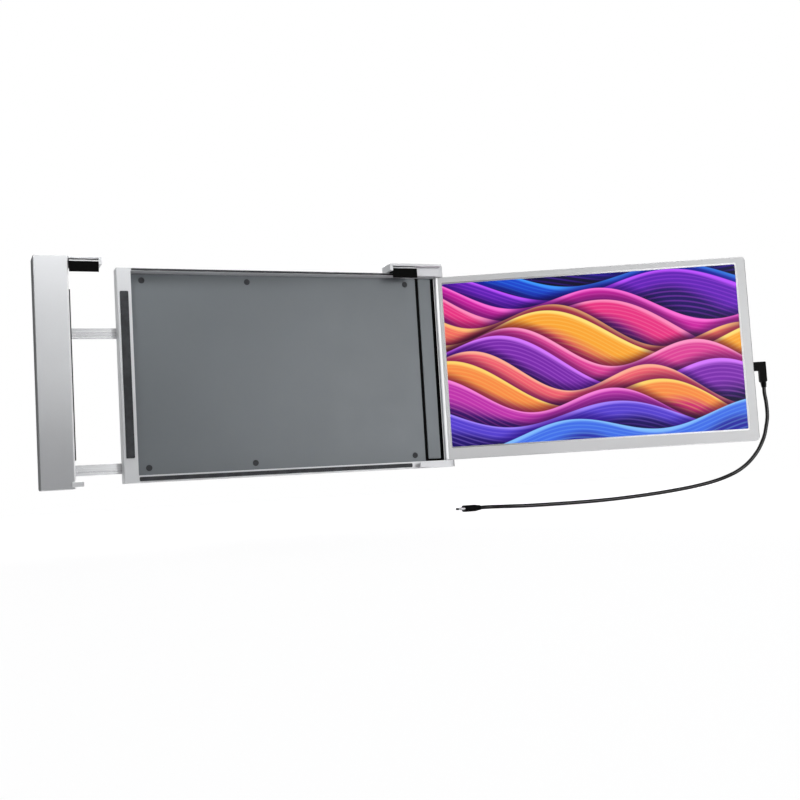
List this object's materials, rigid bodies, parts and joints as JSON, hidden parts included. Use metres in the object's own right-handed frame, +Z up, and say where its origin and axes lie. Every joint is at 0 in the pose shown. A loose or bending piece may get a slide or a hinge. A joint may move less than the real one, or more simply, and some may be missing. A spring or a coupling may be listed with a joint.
{
  "type": "laptop_screen_extender",
  "caption": "Clip-on laptop screen extender: a hinged second screen on a shallow base that hangs on the lid, with a sliding arm, spring top clips, lower hooks, a fold-down stand and a short lead.",
  "frame": {"origin": "centre of the front face of the lower seat strip, on the plane that the back of the laptop's lid rests against", "axes": "+X right along the lid as the user sees it, +Y away from the user, +Z up along the lid"},
  "size_m": [0.7227, 0.16, 0.2609],
  "materials": {
    "silver_shell": "fine matte silver paint",
    "bezel_silver": "fine matte silver",
    "grey_panel": "satin grey",
    "black_plastic": "moulded black",
    "rubber": "soft matte",
    "grey_rubber": "soft matte",
    "steel": "ground",
    "bronze": "plain turned",
    "display": "glossy lit display",
    "sheet_metal": "plain sheet",
    "circuit_board": "solder mask",
    "cord_black": "smooth jacket"
  },
  "bodies": {
    "base": {"base_shell": "silver_shell", "floor_panel": "grey_panel", "hinge_upright": "black_plastic", "upright_plate": "grey_panel", "upper_ear": "silver_shell", "lower_ear": "silver_shell", "hinge_pins": "steel", "ear_screws": "steel", "seat_strips": "grey_rubber", "recess_bumpers": "grey_rubber", "right_hook": "silver_shell", "right_hook_pad": "rubber", "slide_guides": "black_plastic", "base_screws": "steel", "rear_feet": "rubber", "stand_pin": "steel", "right_clip_spring": "steel"},
    "left_arm": {"left_panel": "silver_shell", "left_panel_back": "silver_shell", "slide_rails": "steel", "arm_screws": "steel", "left_hook": "silver_shell", "left_hook_pad": "rubber", "lid_side_pad": "grey_rubber", "left_clip_spring": "steel"},
    "right_clip": {"right_clip_cover": "silver_shell", "right_clip_jaw": "black_plastic", "right_clip_pad": "rubber", "right_clip_blade": "steel"},
    "left_clip": {"left_clip_cover": "silver_shell", "left_clip_jaw": "black_plastic", "left_clip_pad": "rubber", "left_clip_blade": "steel"},
    "stand": {"stand_plate": "silver_shell", "stand_foot": "rubber"},
    "screen": {"screen_rear_cover": "silver_shell", "screen_bezel": "bezel_silver", "lcd_panel": "display", "backlight_plate": "sheet_metal", "driver_board": "circuit_board", "board_parts": "black_plastic", "usb_c_sockets": "steel", "mini_hdmi_socket": "steel", "speakers": "black_plastic", "hinge_sleeves": "bronze", "key_switches": "black_plastic", "angle_plug": "black_plastic", "angle_plug_tip": "steel", "angle_plug_relief": "black_plastic", "cord": "cord_black", "far_plug": "black_plastic", "far_plug_tip": "steel", "far_plug_relief": "black_plastic"},
    "power_key": {"power_button": "grey_panel"},
    "plus_key": {"plus_button": "grey_panel"},
    "minus_key": {"minus_button": "grey_panel"}
  },
  "joints": [
    {"name": "screen_swing", "type": "hinge", "parent": "base", "child": "screen", "pos_m": [0.20895, 0.008, 0.1014], "axis": [0, 0, 1], "range_deg": [-115, 80]},
    {"name": "arm_slide", "type": "slide", "parent": "base", "child": "left_arm", "axis": [-1, 0, 0], "range_m": [-0.041, 0.016]},
    {"name": "right_clip_lift", "type": "slide", "parent": "base", "child": "right_clip", "axis": [0, 0, 1], "range_m": [0, 0.008], "stiffness_N_per_m": 300, "springref_m": -0.01, "deforming": ["right_clip_spring"]},
    {"name": "left_clip_lift", "type": "slide", "parent": "left_arm", "child": "left_clip", "axis": [0, 0, 1], "range_m": [0, 0.008], "stiffness_N_per_m": 300, "springref_m": -0.01, "deforming": ["left_clip_spring"]},
    {"name": "stand_fold", "type": "hinge", "parent": "base", "child": "stand", "pos_m": [0, 0.0176, 0.024], "axis": [-1, 0, 0], "range_deg": [0, 145]},
    {"name": "power_press", "type": "slide", "parent": "screen", "child": "power_key", "axis": [-0.9041, 0.4274, 0], "range_m": [0, 0.0005], "stiffness_N_per_m": 400, "springref_m": -0.0005},
    {"name": "plus_press", "type": "slide", "parent": "screen", "child": "plus_key", "axis": [-0.9041, 0.4274, 0], "range_m": [0, 0.0005], "stiffness_N_per_m": 400, "springref_m": -0.0005},
    {"name": "minus_press", "type": "slide", "parent": "screen", "child": "minus_key", "axis": [-0.9041, 0.4274, 0], "range_m": [0, 0.0005], "stiffness_N_per_m": 400, "springref_m": -0.0005}
  ]
}
